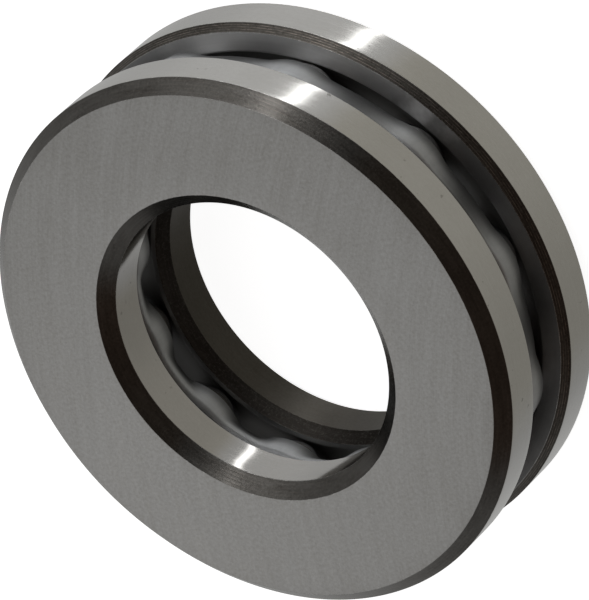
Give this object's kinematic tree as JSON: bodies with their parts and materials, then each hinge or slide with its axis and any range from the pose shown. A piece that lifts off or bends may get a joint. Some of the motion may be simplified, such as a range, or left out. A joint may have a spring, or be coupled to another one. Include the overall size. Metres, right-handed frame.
{
  "type": "thrust ball bearing",
  "caption": "Single-direction thrust ball bearing: two grooved ring washers with chamfered edges, balls held between them in a wavy pressed-steel cage, separable and free to turn.",
  "frame": {"origin": "centre of the housing washer's flat back face, on the bearing axis", "axes": "+Z along the bearing axis, from the housing washer to the shaft washer; +X passes through the centre of ball_01"},
  "size_m": [0.047, 0.047, 0.015],
  "materials": {
    "housing_washer_steel": "ground bearing steel, satin, with dark turned chamfers",
    "shaft_washer_steel": "ground bearing steel, satin, with dark turned chamfers",
    "cage_steel": "pressed sheet steel, satin, slightly blue",
    "ball_steel": "lapped, mirror bright"
  },
  "bodies": {
    "housing_washer": {"housing_washer": "housing_washer_steel"},
    "shaft_washer": {"shaft_washer": "shaft_washer_steel"},
    "cage": {"cage": "cage_steel"},
    "ball_01": {"ball_01": "ball_steel"},
    "ball_02": {"ball_02": "ball_steel"},
    "ball_03": {"ball_03": "ball_steel"},
    "ball_04": {"ball_04": "ball_steel"},
    "ball_05": {"ball_05": "ball_steel"},
    "ball_06": {"ball_06": "ball_steel"},
    "ball_07": {"ball_07": "ball_steel"},
    "ball_08": {"ball_08": "ball_steel"},
    "ball_09": {"ball_09": "ball_steel"},
    "ball_10": {"ball_10": "ball_steel"},
    "ball_11": {"ball_11": "ball_steel"},
    "ball_12": {"ball_12": "ball_steel"}
  },
  "joints": [
    {"name": "shaft_washer_spin", "type": "hinge", "parent": "housing_washer", "child": "shaft_washer", "pos_m": [0, 0, 0.0125], "axis": [0, 0, 1], "continuous": true},
    {"name": "cage_spin", "type": "hinge", "parent": "housing_washer", "child": "cage", "pos_m": [0, 0, 0.0075], "axis": [0, 0, 1], "continuous": true},
    {"name": "ball_01_roll", "type": "hinge", "parent": "cage", "child": "ball_01", "pos_m": [0.018, 0, 0.0075], "axis": [1, 0, 0], "continuous": true},
    {"name": "ball_02_roll", "type": "hinge", "parent": "cage", "child": "ball_02", "pos_m": [0.01559, 0.009, 0.0075], "axis": [0.866, 0.5, 0], "continuous": true},
    {"name": "ball_03_roll", "type": "hinge", "parent": "cage", "child": "ball_03", "pos_m": [0.009, 0.01559, 0.0075], "axis": [0.5, 0.866, 0], "continuous": true},
    {"name": "ball_04_roll", "type": "hinge", "parent": "cage", "child": "ball_04", "pos_m": [0, 0.018, 0.0075], "axis": [0, 1, 0], "continuous": true},
    {"name": "ball_05_roll", "type": "hinge", "parent": "cage", "child": "ball_05", "pos_m": [-0.009, 0.01559, 0.0075], "axis": [-0.5, 0.866, 0], "continuous": true},
    {"name": "ball_06_roll", "type": "hinge", "parent": "cage", "child": "ball_06", "pos_m": [-0.01559, 0.009, 0.0075], "axis": [-0.866, 0.5, 0], "continuous": true},
    {"name": "ball_07_roll", "type": "hinge", "parent": "cage", "child": "ball_07", "pos_m": [-0.018, 0, 0.0075], "axis": [-1, 0, 0], "continuous": true},
    {"name": "ball_08_roll", "type": "hinge", "parent": "cage", "child": "ball_08", "pos_m": [-0.01559, -0.009, 0.0075], "axis": [-0.866, -0.5, 0], "continuous": true},
    {"name": "ball_09_roll", "type": "hinge", "parent": "cage", "child": "ball_09", "pos_m": [-0.009, -0.01559, 0.0075], "axis": [-0.5, -0.866, 0], "continuous": true},
    {"name": "ball_10_roll", "type": "hinge", "parent": "cage", "child": "ball_10", "pos_m": [0, -0.018, 0.0075], "axis": [0, -1, 0], "continuous": true},
    {"name": "ball_11_roll", "type": "hinge", "parent": "cage", "child": "ball_11", "pos_m": [0.009, -0.01559, 0.0075], "axis": [0.5, -0.866, 0], "continuous": true},
    {"name": "ball_12_roll", "type": "hinge", "parent": "cage", "child": "ball_12", "pos_m": [0.01559, -0.009, 0.0075], "axis": [0.866, -0.5, 0], "continuous": true}
  ],
  "couplings": [
    {"joint": "cage_spin", "follows": "shaft_washer_spin", "ratio": 0.5},
    {"joint": "ball_01_roll", "follows": "shaft_washer_spin", "ratio": -2.2676},
    {"joint": "ball_02_roll", "follows": "shaft_washer_spin", "ratio": -2.2676},
    {"joint": "ball_03_roll", "follows": "shaft_washer_spin", "ratio": -2.2676},
    {"joint": "ball_04_roll", "follows": "shaft_washer_spin", "ratio": -2.2676},
    {"joint": "ball_05_roll", "follows": "shaft_washer_spin", "ratio": -2.2676},
    {"joint": "ball_06_roll", "follows": "shaft_washer_spin", "ratio": -2.2676},
    {"joint": "ball_07_roll", "follows": "shaft_washer_spin", "ratio": -2.2676},
    {"joint": "ball_08_roll", "follows": "shaft_washer_spin", "ratio": -2.2676},
    {"joint": "ball_09_roll", "follows": "shaft_washer_spin", "ratio": -2.2676},
    {"joint": "ball_10_roll", "follows": "shaft_washer_spin", "ratio": -2.2676},
    {"joint": "ball_11_roll", "follows": "shaft_washer_spin", "ratio": -2.2676},
    {"joint": "ball_12_roll", "follows": "shaft_washer_spin", "ratio": -2.2676}
  ]
}
